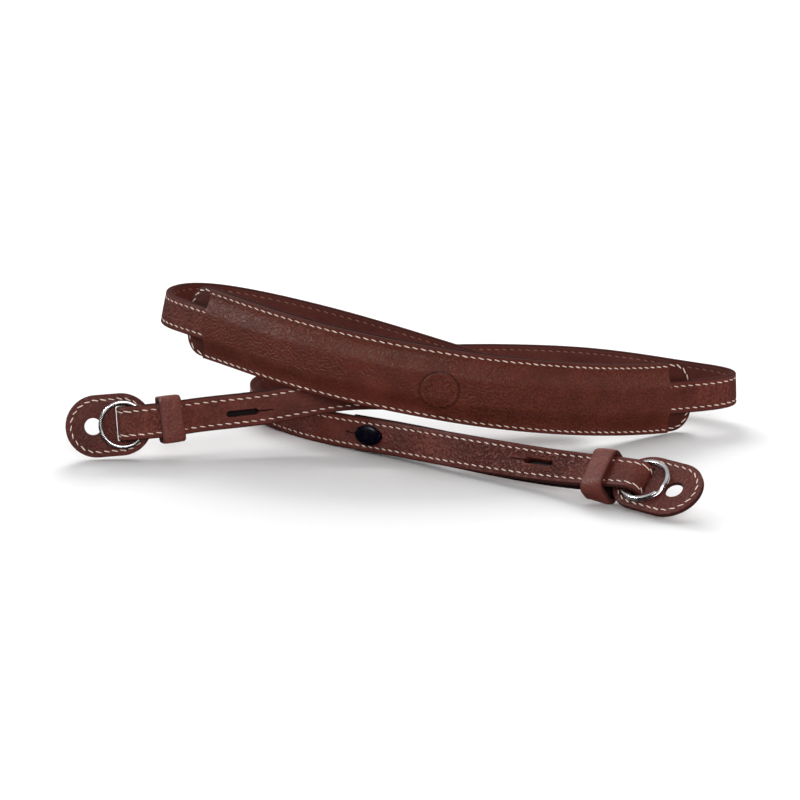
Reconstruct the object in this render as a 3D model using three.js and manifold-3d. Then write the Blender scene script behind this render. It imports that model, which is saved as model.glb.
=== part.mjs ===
// A leather carrying strap with a shoulder pad, lying in the loose coil in which it was put down.
// Millimetres, +Z up. The strap stands mostly on its edge. The grain side of the leather is on the
// right-hand side of its route, which starts at the left fold and ends at the right fold.
import * as THREE from 'three';
import { mergeVertices } from 'three/addons/utils/BufferGeometryUtils.js';
import Module from 'manifold-3d';

const wasm = await Module();
wasm.setup();

// Room left between two pieces that touch on the real strap.
const GAP = 0.3;

// The strap is two layers sewn together. Towards each fold, and in the tail behind it, it is skived thinner.
const STRAP_WIDTH = 12;
const STRAP_THICKNESS = 2.6;
const TAIL_THICKNESS = 1.8;
const STRAP_EDGE = 0.5;
const SKIVE_FROM = 10;
const SKIVE_TO = 24;

// Each tail lies behind the strap, and opens out round the flap and the ring at the fold.
const TAIL_LENGTH = 117;
const TAIL_OPEN_TO = 6.8;
const TAIL_CLOSED_FROM = 15;
const FOLD_REACH = 4.6;

// Buttonholes: an oblong hole with a slit on the side away from the ring.
const HOLE_LENGTH = 12;
const HOLE_WIDTH = 2.2;
const SLIT_LENGTH = 5;
const SLIT_WIDTH = 0.5;
const SPARE_HOLE_ACROSS = { left: -0.8, right: 0.5 };
const SPARE_HOLE_AT = { left: 39.1, right: 35.7 };
const STUD_AT = 107.3;

// The pad is a face and a backing, with the strap between them.
const PAD_LENGTH = 209;
const PAD_FROM = 352.2;
const PAD_WIDTH = 25.8;
const PAD_THICKNESS = 1.8;
const PAD_EDGE = 0.45;
const BACKING_BEYOND_FACE = 12.3;
const BACKING_CORNER = 8;
const TUNNEL_HALF = STRAP_WIDTH / 2 + GAP;
const TUNNEL_SHOULDER = 3.6;

// Split rings of flattened wire, with almost two turns each.
const RING_OUTSIDE = 17;
const WIRE_RADIAL = 1.3;
const WIRE_AXIAL = 0.9;
const WIRE_EDGE = 0.25;
const RING_PITCH = 1.05;
const RING_TURNS = 1.9;
const RING_STEP_FROM = 0.9;
const RING_STEPS = 22;
const RING_FROM_FOLD = { left: -3.6, right: -5.2 };
const RING_HANGS = -0.4;

// Flaps that keep the ring off what the strap hangs on, with a round hole and a slot for the strap.
const FLAP_LENGTH = { left: 30.4, right: 32.2 };
const FLAP_WIDTH = 22;
const FLAP_THICKNESS = 1.7;
const FLAP_EDGE = 0.4;
const FLAP_FROM_FOLD = { left: -8.4, right: -9.5 };
const FLAP_HANGS = { left: -0.3, right: 0.3 };
const FLAP_TURN = { left: 0, right: 8 };
const FLAP_HOLE = 6;
const FLAP_HOLE_FROM_MIDDLE = { left: -5.6, right: -6.5 };

// Keepers: closed loops of leather round the strap and its tail. The right one sags at its inner end.
const KEEPER_AT = { left: 13.3, right: 10.6 };
const KEEPER_LENGTH = 7.8;
const KEEPER_WALL = 1.5;
const KEEPER_CORNER = 2;
const KEEPER_EDGE = 0.5;
const KEEPER_ROOM = 0.5;
const KEEPER_ROOM_ACROSS = 0.7;
const KEEPER_SAG = { left: 0, right: 1.1 };
const KEEPER_SLACK = 0.2;
const KEEPER_STEPS = 4;

// Studs with an oval polished head, a neck through both layers and a round base behind them.
const STUD_LENGTH = 11.8;
const STUD_WIDTH = 7.3;
const STUD_HEAD_RISE = 1.6;
const STUD_NECK = 2.8;
const STUD_BASE = 6.5;
const STUD_BASE_THICKNESS = 0.8;
const STUD_BASE_TAPER = 0.3;
const STUD_PROFILE = [
  // in from the tip, above the seat
  [0.3, 0],
  [0, 0.3],
  [0.3, 0.7],
  [1.3, 1.2],
  [3, 1.5],
];

// How many sides the round pieces have.
const HEAD_SIDES = 24;
const NECK_SIDES = 16;
const BASE_SIDES = 20;
const FLAP_CURVE_SIDES = 20;

// Along the route, sections stand this far apart at most, and closer where it turns more than so many degrees.
const LONGEST_STEP = 7.5;
const SHORTEST_STEP = 0.8;
const LARGEST_TURN = 9;
const STEP_SHRINK = 0.85;

// The point of the floor, in the route's millimetres, that becomes the origin: under the middle of the whole.
const ORIGIN = { x: 3.99, y: 14.49, z: -0.45 };

// The route of the strap's middle line: places in millimetres, and how far the top leans away from the
// grain side, in degrees. Read in order: the left leg, the turn behind the pad, the upper run, the left
// loop, the pad, the right loop, the back run, the turn under the upper run and the right leg.
const ROUTE = [
  // x, y, z, lean
  [-93.4, -1.7, 12.8, 12],
  [-87, -0.8, 13.1, 12],
  [-80, 1.1, 13.5, 12],
  [-72, 4.3, 14.1, 12],
  [-61, 7.6, 14.5, 11],
  [-47.6, 11.1, 15, 10],
  [-34, 14.7, 16.9, 9],
  [-21, 15.5, 19.4, 6],
  [-6, 17.8, 19, 3],
  [12, 22, 17.1, 0],
  [32, 26.5, 14.6, 0],
  [48, 27, 13.2, 0],
  [60, 28.5, 13, 0],
  [65.5, 35.5, 13.8, 0],
  [60, 42.5, 15, 0],
  [46, 44.5, 17, 0],
  [28, 48.5, 21, 0],
  [8, 54, 26.3, 0],
  [-14, 60, 31.8, 0],
  [-34, 64.7, 36.2, 0],
  [-54, 67.8, 40.2, 0],
  [-70, 70.5, 42.4, 4],
  [-81, 68, 43.2, 8],
  [-87, 58, 43.3, 12],
  [-86, 46.5, 43, 12],
  [-78, 37.5, 42.4, 8],
  [-66, 27.5, 41, 2],
  [-48, 14.5, 37.5, 0],
  [-30, 5, 34.3, -2],
  [-12, -1, 31.4, -4],
  [6, -4, 28.6, -4],
  [24, -4, 25.4, -3],
  [42, -0.5, 22.4, -1],
  [60, 7.5, 19, 1],
  [76, 18, 15.9, 2],
  [91, 28, 13.8, 6],
  [105, 36.5, 12.9, 4],
  [118.5, 41, 12.9, 3],
  [125.5, 49, 13, 3],
  [121.5, 58.5, 12.9, 2],
  [110, 65, 13, 0],
  [92, 77, 13.5, 0],
  [72, 90.5, 13.1, 0],
  [48, 100, 12, 0],
  [22, 105, 11, 0],
  [-4, 104.5, 9.6, 0],
  [-28, 97.5, 8, 0],
  [-47, 84.5, 6.5, 0],
  [-57, 67, 6.2, 0],
  [-54, 51, 6.1, 0],
  [-43, 36, 5.8, 1],
  [-31, 23.6, 5.4, 2],
  [-17, 11.8, 6, 5],
  [-1, -1.2, 6.8, 10],
  [16, -15, 7.2, 18],
  [32, -26.6, 7.4, 29],
  [46, -37, 7.8, 37],
  [57, -45.8, 8.8, 43],
  [64.8, -52.1, 9.9, 47.5],
  [70, -56.1, 10.8, 52],
  [74.6, -59.4, 11.1, 55],
];

const LEATHER = { color: 0x5b3129, roughness: 0.55, metalness: 0 };
const LINING = { color: 0x4a261f, roughness: 0.7, metalness: 0 };
const STEEL = { color: 0x8b8c90, roughness: 0.22, metalness: 1 };
const STUD = { color: 0x11131c, roughness: 0.15, metalness: 1 };

// A smooth curve guided by the rows of the route, as a uniform cubic B-spline with straight ends.
class StrapRoute extends THREE.Curve {
  constructor(rows) {
    super();
    this.rows = rows;
    this.arcLengthDivisions = 2400;
  }

  valueAt(t, column) {
    const last = this.rows.length - 1;
    const place = THREE.MathUtils.clamp(t, 0, 1) * last;
    const span = Math.min(Math.floor(place), last - 1);
    const f = place - span;
    const first = this.rows[0][column];
    const end = this.rows[last][column];
    const before = span > 0 ? this.rows[span - 1][column] : 2 * first - this.rows[1][column];
    const here = this.rows[span][column];
    const next = this.rows[span + 1][column];
    const after = span + 2 <= last ? this.rows[span + 2][column] : 2 * end - this.rows[last - 1][column];
    const weights = [(1 - f) ** 3, 3 * f ** 3 - 6 * f ** 2 + 4, -3 * f ** 3 + 3 * f ** 2 + 3 * f + 1, f ** 3];
    return (weights[0] * before + weights[1] * here + weights[2] * next + weights[3] * after) / 6;
  }

  getPoint(t, target = new THREE.Vector3()) {
    const [x, y, z] = [0, 1, 2].map((column) => this.valueAt(t, column));
    return target.set(x - ORIGIN.x, y - ORIGIN.y, z - ORIGIN.z);
  }

  leanAt(t) {
    return THREE.MathUtils.degToRad(this.valueAt(t, 3));
  }
}

const route = new StrapRoute(ROUTE);
const LENGTH = route.getLength();

// A place on the strap: its point, and the directions along it, across it and out of its grain side.
function placeAt(distance) {
  const t = route.getUtoTmapping(0, distance);
  const along = route.getTangent(t);
  const up = new THREE.Vector3(0, 0, 1).addScaledVector(along, -along.z).normalize();
  const side = new THREE.Vector3().crossVectors(along, up);
  const lean = route.leanAt(t);
  const across = up.multiplyScalar(Math.cos(lean)).addScaledVector(side, -Math.sin(lean));
  const out = new THREE.Vector3().crossVectors(along, across);
  return { point: route.getPoint(t), along, across, out };
}

// The same place moved, in its own directions.
function moved(place, along, across, out) {
  const point = place.point.clone();
  point.addScaledVector(place.along, along);
  point.addScaledVector(place.across, across);
  point.addScaledVector(place.out, out);
  return { ...place, point };
}

// The same place seen in the other direction, with its grain side behind.
function reversed(place) {
  return { ...place, along: place.along.clone().negate(), out: place.out.clone().negate() };
}

function smooth(from, to, value) {
  return THREE.MathUtils.smoothstep(value, from, to);
}

// How far a distance along the route is from the nearer fold.
function fromFold(distance) {
  return Math.min(distance, LENGTH - distance);
}

function thicknessAt(distance) {
  return THREE.MathUtils.lerp(TAIL_THICKNESS, STRAP_THICKNESS, smooth(SKIVE_FROM, SKIVE_TO, fromFold(distance)));
}

// The layers at a fold, from front to back: strap, ring, flap and tail.
const RING_AXIAL = RING_PITCH + WIRE_AXIAL;
const RING_BEHIND = TAIL_THICKNESS / 2 + GAP + RING_AXIAL / 2;
const FLAP_BEHIND = TAIL_THICKNESS / 2 + GAP + RING_AXIAL + GAP + FLAP_THICKNESS / 2;
const TAIL_BEHIND_FLAP = FLAP_BEHIND + FLAP_THICKNESS / 2 + GAP + TAIL_THICKNESS / 2;
const TAIL_BEHIND_STRAP = STRAP_THICKNESS / 2 + GAP + TAIL_THICKNESS / 2;

function tailBehindAt(distance) {
  const closed = smooth(TAIL_OPEN_TO, TAIL_CLOSED_FROM, fromFold(distance));
  return THREE.MathUtils.lerp(TAIL_BEHIND_FLAP, TAIL_BEHIND_STRAP, closed);
}

// Distances from one to another along the route, closer together where it turns tightly.
function stations(from, to) {
  const turn = THREE.MathUtils.degToRad(LARGEST_TURN);
  const list = [from];
  let distance = from;
  while (distance < to) {
    let step = Math.min(LONGEST_STEP, to - distance);
    const heading = placeAt(distance).along;
    while (step > SHORTEST_STEP && heading.angleTo(placeAt(distance + step).along) > turn) {
      step *= STEP_SHRINK;
    }
    distance += step;
    list.push(distance);
    if (to - distance < SHORTEST_STEP / 2) {
      break;
    }
  }
  list[list.length - 1] = to;
  return list;
}

// A closed solid through sections, each a list of [across, out] corners at its place.
function loft(places, sections) {
  const corners = sections[0].length;
  const vertices = [];
  places.forEach((place, i) => {
    for (const [across, out] of sections[i]) {
      vertices.push(...moved(place, 0, across, out).point.toArray());
    }
  });
  const index = [];
  for (let i = 0; i + 1 < places.length; i += 1) {
    for (let k = 0; k < corners; k += 1) {
      const a = i * corners + k;
      const b = i * corners + ((k + 1) % corners);
      index.push(a, b, b + corners, a, b + corners, a + corners);
    }
  }
  const cap = (section) => {
    const contour = section.map(([across, out]) => new THREE.Vector2(across, out));
    return THREE.ShapeUtils.triangulateShape(contour, []);
  };
  for (const [a, b, c] of cap(sections[0])) {
    index.push(a, c, b);
  }
  const base = (places.length - 1) * corners;
  for (const [a, b, c] of cap(sections[places.length - 1])) {
    index.push(base + a, base + b, base + c);
  }
  const geometry = new THREE.BufferGeometry();
  geometry.setAttribute('position', new THREE.Float32BufferAttribute(vertices, 3));
  geometry.setIndex(index);
  return geometry;
}

// A rectangle with cut corners, from one out to another.
function slab(halfWidth, low, high, edge) {
  return [
    [-halfWidth + edge, low],
    [halfWidth - edge, low],
    [halfWidth, low + edge],
    [halfWidth, high - edge],
    [halfWidth - edge, high],
    [-halfWidth + edge, high],
    [-halfWidth, high - edge],
    [-halfWidth, low + edge],
  ];
}

// Joining and cutting.
function solidOf(geometry) {
  const bare = geometry.clone();
  bare.deleteAttribute('normal');
  bare.deleteAttribute('uv');
  const merged = mergeVertices(bare, 1e-4);
  return new wasm.Manifold(new wasm.Mesh({
    numProp: 3,
    vertProperties: new Float32Array(merged.attributes.position.array),
    triVerts: new Uint32Array(merged.index.array),
  }));
}

function geometryOf(solid) {
  const mesh = solid.getMesh();
  const geometry = new THREE.BufferGeometry();
  geometry.setAttribute('position', new THREE.BufferAttribute(new Float32Array(mesh.vertProperties), 3));
  geometry.setIndex(new THREE.BufferAttribute(new Uint32Array(mesh.triVerts), 1));
  return geometry;
}

// Turns a geometry made with x along, y across and z out into its place on the strap.
function put(geometry, place) {
  const basis = new THREE.Matrix4().makeBasis(place.along, place.across, place.out);
  basis.setPosition(place.point);
  return geometry.clone().applyMatrix4(basis);
}

// The two ends, each with its directions pointing along the strap, away from the fold.
const ENDS = {
  left: { at: (distance) => placeAt(distance), away: 1 },
  right: { at: (distance) => placeAt(LENGTH - distance), away: -1 },
};

// The strap with its folds, its tails and its buttonholes.
function foldPlaces(place, away) {
  const radius = TAIL_BEHIND_FLAP / 2;
  const steps = 12;
  const list = [];
  for (let k = 1; k < steps; k += 1) {
    const angle = (Math.PI * k) / steps;
    const point = place.point.clone();
    point.addScaledVector(place.out, -radius + radius * Math.cos(angle));
    point.addScaledVector(place.along, -away * FOLD_REACH * Math.sin(angle));
    const out = place.out.clone().multiplyScalar(FOLD_REACH * Math.cos(angle));
    out.addScaledVector(place.along, -away * radius * Math.sin(angle)).normalize();
    const along = new THREE.Vector3().crossVectors(place.across, out);
    list.push({ point, along, across: place.across, out });
  }
  return list;
}

function strapSolid() {
  const opening = [0.2, 0.4, 0.6, 0.8].map((part) => THREE.MathUtils.lerp(TAIL_OPEN_TO, TAIL_CLOSED_FROM, part));
  const tailStations = [...stations(0, TAIL_OPEN_TO), ...opening, ...stations(TAIL_CLOSED_FROM, TAIL_LENGTH)];
  const tailPlace = (end, distance) => {
    const place = ENDS[end].at(distance);
    return reversed(moved(place, 0, 0, -tailBehindAt(distance)));
  };
  const places = [];
  const sections = [];
  const add = (place, thickness) => {
    places.push(place);
    sections.push(slab(STRAP_WIDTH / 2, -thickness / 2, thickness / 2, STRAP_EDGE));
  };
  for (const distance of [...tailStations].reverse()) {
    add(tailPlace('left', distance), TAIL_THICKNESS);
  }
  for (const place of foldPlaces(placeAt(0), 1).reverse()) {
    add(place, TAIL_THICKNESS);
  }
  for (const distance of stations(0, LENGTH)) {
    add(placeAt(distance), thicknessAt(distance));
  }
  for (const place of foldPlaces(placeAt(LENGTH), -1)) {
    add(place, TAIL_THICKNESS);
  }
  for (const distance of tailStations) {
    add(tailPlace('right', distance), TAIL_THICKNESS);
  }
  let strap = solidOf(loft(places, sections));
  for (const [name, end] of Object.entries(ENDS)) {
    const spare = moved(end.at(SPARE_HOLE_AT[name]), 0, SPARE_HOLE_ACROSS[name], 0);
    strap = strap.subtract(solidOf(put(buttonholeCutter(end.away, HOLE_WIDTH), spare)));
    strap = strap.subtract(solidOf(put(buttonholeCutter(end.away, STUD_NECK + 2 * GAP), end.at(STUD_AT))));
    strap = strap.subtract(solidOf(put(rivetCutter(), tailPlace(name, STUD_AT))));
  }
  return geometryOf(strap);
}

// A buttonhole's cutter, through the front layer only: an oblong with a slit away from the ring.
function buttonholeCutter(away, width) {
  const half = HOLE_LENGTH / 2;
  const side = width / 2;
  const slit = SLIT_WIDTH / 2;
  const shape = new THREE.Shape();
  shape.moveTo(-half + side, -side);
  shape.lineTo(half - side, -side);
  shape.lineTo(half, -slit);
  shape.lineTo(half + SLIT_LENGTH, -slit);
  shape.lineTo(half + SLIT_LENGTH, slit);
  shape.lineTo(half, slit);
  shape.lineTo(half - side, side);
  shape.lineTo(-half + side, side);
  shape.lineTo(-half, slit);
  shape.lineTo(-half, -slit);
  const depth = STRAP_THICKNESS + GAP;
  const cutter = new THREE.ExtrudeGeometry(shape, { depth, bevelEnabled: false });
  cutter.translate(0, 0, -STRAP_THICKNESS / 2 - GAP / 2);
  if (away < 0) {
    cutter.rotateZ(Math.PI);
  }
  return cutter;
}

// The round hole in the tail through which the stud is riveted.
function rivetCutter() {
  const cutter = new THREE.CylinderGeometry(STUD_NECK / 2 + GAP, STUD_NECK / 2 + GAP, TAIL_THICKNESS + GAP, NECK_SIDES);
  return cutter.rotateX(Math.PI / 2);
}

// The pad. Its face rises over the strap in the middle and comes down to the backing at both sides.
const BACKING_TOP = -STRAP_THICKNESS / 2 - GAP;
const FACE_SIDE = BACKING_TOP + GAP;
const FACE_MIDDLE = STRAP_THICKNESS / 2 + GAP;
const SHOULDER = TUNNEL_HALF + TUNNEL_SHOULDER;
const CROWN_FROM = TUNNEL_HALF - 2.5;
const CROWN_TO = SHOULDER + 0.6;

// How far across the middle the face's corners are, below and above.
const UNDER_CORNERS = [TUNNEL_HALF, 7.5, 8.7, SHOULDER];
const OVER_CORNERS = [3.6, 5.2, 7, 8.8, 10.6, PAD_WIDTH / 2 - PAD_EDGE];
const CORNER_STEPS = 4;
const CLOSEST_STATIONS = 0.3;

function padStations(from, to, corner) {
  const list = stations(from, to);
  if (corner > 0) {
    for (let k = 1; k <= CORNER_STEPS; k += 1) {
      const inward = corner * (1 - Math.cos((Math.PI * k) / (2 * CORNER_STEPS)));
      list.push(from + inward, to - inward);
    }
  }
  list.sort((a, b) => a - b);
  return list.filter((distance, i) => i === 0 || distance - list[i - 1] > CLOSEST_STATIONS);
}

function padFace() {
  const from = PAD_FROM + BACKING_BEYOND_FACE;
  const to = PAD_FROM + PAD_LENGTH - BACKING_BEYOND_FACE;
  const half = PAD_WIDTH / 2;
  const under = (across) => {
    const down = smooth(TUNNEL_HALF, SHOULDER, Math.abs(across));
    return THREE.MathUtils.lerp(FACE_MIDDLE, FACE_SIDE, down);
  };
  const over = (across) => {
    const down = smooth(CROWN_FROM, CROWN_TO, Math.abs(across));
    return THREE.MathUtils.lerp(FACE_MIDDLE, FACE_SIDE, down) + PAD_THICKNESS;
  };
  const onBothSides = (corners) => [...corners.map((across) => -across).reverse(), ...corners];
  const underside = onBothSides(UNDER_CORNERS);
  const outside = onBothSides(OVER_CORNERS).reverse();
  const section = [
    [-half + PAD_EDGE, FACE_SIDE],
    ...underside.map((across) => [across, under(across)]),
    [half - PAD_EDGE, FACE_SIDE],
    [half, FACE_SIDE + PAD_EDGE],
    [half, over(half) - PAD_EDGE],
    ...outside.map((across) => [across, over(across)]),
    [-half, over(half) - PAD_EDGE],
    [-half, FACE_SIDE + PAD_EDGE],
  ];
  const distances = padStations(from, to, 0);
  return loft(distances.map(placeAt), distances.map(() => section));
}

function padBack() {
  const from = PAD_FROM;
  const to = PAD_FROM + PAD_LENGTH;
  const distances = padStations(from, to, BACKING_CORNER);
  const sections = distances.map((distance) => {
    const inward = Math.min(distance - from, to - distance, BACKING_CORNER);
    const cut = BACKING_CORNER - Math.sqrt(BACKING_CORNER ** 2 - (BACKING_CORNER - inward) ** 2);
    return slab(PAD_WIDTH / 2 - cut, BACKING_TOP - PAD_THICKNESS, BACKING_TOP, PAD_EDGE);
  });
  return loft(distances.map(placeAt), sections);
}

// A split ring lying between the strap and the flap, round the strap's fold.
function splitRing(end, fromFoldBy) {
  const fold = moved(end.at(0), end.away * fromFoldBy, RING_HANGS, -RING_BEHIND);
  const middle = (RING_OUTSIDE - WIRE_RADIAL) / 2;
  const steps = Math.round(RING_TURNS * RING_STEPS);
  const places = [];
  for (let k = 0; k <= steps; k += 1) {
    const turn = (k / RING_STEPS) * Math.PI * 2;
    const away = fold.along.clone().multiplyScalar(Math.cos(turn));
    away.addScaledVector(fold.across, Math.sin(turn));
    const rise = RING_PITCH * (smooth(RING_STEP_FROM, 1, k / RING_STEPS) - 0.5);
    const point = fold.point.clone().addScaledVector(away, middle).addScaledVector(fold.out, rise);
    const along = new THREE.Vector3().crossVectors(fold.out, away);
    places.push({ point, along, across: fold.out, out: away });
  }
  const section = slab(WIRE_AXIAL / 2, -WIRE_RADIAL / 2, WIRE_RADIAL / 2, WIRE_EDGE);
  return loft(places, places.map(() => section));
}

// A flap: a stadium of leather with a round hole beyond the ring and a slot that the fold goes through.
function flapGeometry(away, length, fromFoldBy, holeFromMiddle, turn) {
  const half = FLAP_WIDTH / 2;
  const straight = length / 2 - half;
  const edge = FLAP_EDGE;
  const shape = new THREE.Shape();
  shape.absarc(straight, 0, half - edge, -Math.PI / 2, Math.PI / 2);
  shape.absarc(-straight, 0, half - edge, Math.PI / 2, (Math.PI * 3) / 2);
  const hole = new THREE.Path();
  hole.absarc(away * holeFromMiddle, 0, FLAP_HOLE / 2 + edge, 0, Math.PI * 2, true);
  const slotOuter = -(FOLD_REACH + TAIL_THICKNESS / 2 + GAP) - fromFoldBy;
  const foldMiddle = TAIL_BEHIND_FLAP / 2;
  const hollow = (FLAP_BEHIND + FLAP_THICKNESS / 2 - foldMiddle) / (foldMiddle - TAIL_THICKNESS / 2);
  const slotInner = -(FOLD_REACH - TAIL_THICKNESS / 2) * Math.sqrt(1 - hollow ** 2) + GAP - fromFoldBy;
  const slotHalf = STRAP_WIDTH / 2 + GAP;
  const slotEnds = [away * slotOuter, away * slotInner].sort((a, b) => a - b);
  const pivot = new THREE.Vector2((slotEnds[0] + slotEnds[1]) / 2, 0);
  const slot = new THREE.Path([
    new THREE.Vector2(slotEnds[0] - edge, -slotHalf - edge),
    new THREE.Vector2(slotEnds[0] - edge, slotHalf + edge),
    new THREE.Vector2(slotEnds[1] + edge, slotHalf + edge),
    new THREE.Vector2(slotEnds[1] + edge, -slotHalf - edge),
  ].map((corner) => corner.rotateAround(pivot, turn)));
  shape.holes.push(hole, slot);
  const geometry = new THREE.ExtrudeGeometry(shape, {
    depth: FLAP_THICKNESS - 2 * edge,
    bevelThickness: edge,
    bevelSize: edge,
    bevelSegments: 1,
    curveSegments: FLAP_CURVE_SIDES,
  });
  geometry.translate(-pivot.x, 0, -FLAP_THICKNESS / 2 + edge);
  return geometry.rotateZ(-turn).translate(pivot.x, 0, 0);
}

// A keeper: a closed band round the strap and its tail, deeper on the side of the fold.
function keeper(end, middle, sag) {
  const places = [];
  const outer = [];
  const inner = [];
  const sagging = (section, by) => section.map(([across, out]) => [across < 0 ? across - by : across, out]);
  const high = STRAP_THICKNESS / 2 + KEEPER_ROOM;
  const half = STRAP_WIDTH / 2 + KEEPER_ROOM_ACROSS;
  for (let k = 0; k <= KEEPER_STEPS; k += 1) {
    const part = k / KEEPER_STEPS;
    const distance = middle + (part - 0.5) * KEEPER_LENGTH;
    const behind = Math.max(tailBehindAt(distance), TAIL_BEHIND_STRAP + KEEPER_SLACK);
    const low = -behind - TAIL_THICKNESS / 2 - KEEPER_ROOM;
    places.push(end.at(distance));
    outer.push(sagging(slab(half + KEEPER_WALL, low - KEEPER_WALL, high + KEEPER_WALL, KEEPER_CORNER), sag * part));
    inner.push(sagging(slab(half, low, high, KEEPER_EDGE), sag * part));
  }
  if (end.away < 0) {
    places.reverse();
    outer.reverse();
    inner.reverse();
  }
  const band = solidOf(loft(places, outer));
  places[0] = moved(places[0], -1, 0, 0);
  places[KEEPER_STEPS] = moved(places[KEEPER_STEPS], 1, 0, 0);
  return geometryOf(band.subtract(solidOf(loft(places, inner))));
}

// A stud, with x along the strap, y across it and z out of it, and its middle on the strap's middle line.
function stud() {
  const seat = STRAP_THICKNESS / 2 + GAP;
  const back = -TAIL_BEHIND_STRAP - TAIL_THICKNESS / 2 - GAP;
  const profile = STUD_PROFILE.map(([inward, up]) => new THREE.Vector2(STUD_LENGTH / 2 - inward, seat + up));
  const bottom = new THREE.Vector2(0, seat);
  const top = new THREE.Vector2(0, seat + STUD_HEAD_RISE);
  const head = new THREE.LatheGeometry([bottom, ...profile, top], HEAD_SIDES);
  head.rotateX(Math.PI / 2).scale(1, STUD_WIDTH / STUD_LENGTH, 1);
  const neckLength = seat - back + 2 * STUD_BASE_TAPER;
  const neck = new THREE.CylinderGeometry(STUD_NECK / 2, STUD_NECK / 2, neckLength, NECK_SIDES);
  neck.rotateX(Math.PI / 2).translate(0, 0, (seat + back) / 2);
  const base = new THREE.CylinderGeometry(
    STUD_BASE / 2,
    STUD_BASE / 2 - STUD_BASE_TAPER,
    STUD_BASE_THICKNESS,
    BASE_SIDES,
  );
  base.rotateX(Math.PI / 2).translate(0, 0, back - STUD_BASE_THICKNESS / 2);
  return geometryOf(solidOf(head).add(solidOf(neck)).add(solidOf(base)));
}

const strapWithPad = new THREE.Group();
strapWithPad.name = 'carrying_strap';

function piece(name, geometry, look) {
  const mesh = new THREE.Mesh(geometry, new THREE.MeshStandardMaterial(look));
  mesh.name = name;
  strapWithPad.add(mesh);
  return mesh;
}

function placed(mesh, place) {
  const basis = new THREE.Matrix4().makeBasis(place.along, place.across, place.out);
  mesh.quaternion.setFromRotationMatrix(basis);
  mesh.position.copy(place.point);
}

piece('strap', strapSolid(), LEATHER);
piece('pad_face', padFace(), LEATHER);
piece('pad_back', padBack(), LINING);
for (const [name, end] of Object.entries(ENDS)) {
  piece(`${name}_keeper`, keeper(end, KEEPER_AT[name], KEEPER_SAG[name]), LEATHER);
  piece(`${name}_ring`, splitRing(end, RING_FROM_FOLD[name]), STEEL);
  const turn = THREE.MathUtils.degToRad(FLAP_TURN[name]);
  const shape = flapGeometry(end.away, FLAP_LENGTH[name], FLAP_FROM_FOLD[name], FLAP_HOLE_FROM_MIDDLE[name], turn);
  const flap = piece(`${name}_flap`, shape, LEATHER);
  placed(flap, moved(end.at(0), end.away * FLAP_FROM_FOLD[name], FLAP_HANGS[name], -FLAP_BEHIND));
  const button = piece(`${name}_stud`, stud(), STUD);
  placed(button, end.at(STUD_AT));
}

export default strapWithPad;
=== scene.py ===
import math

import bmesh
import bpy
import numpy as np
from mathutils import Matrix, Vector


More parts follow.
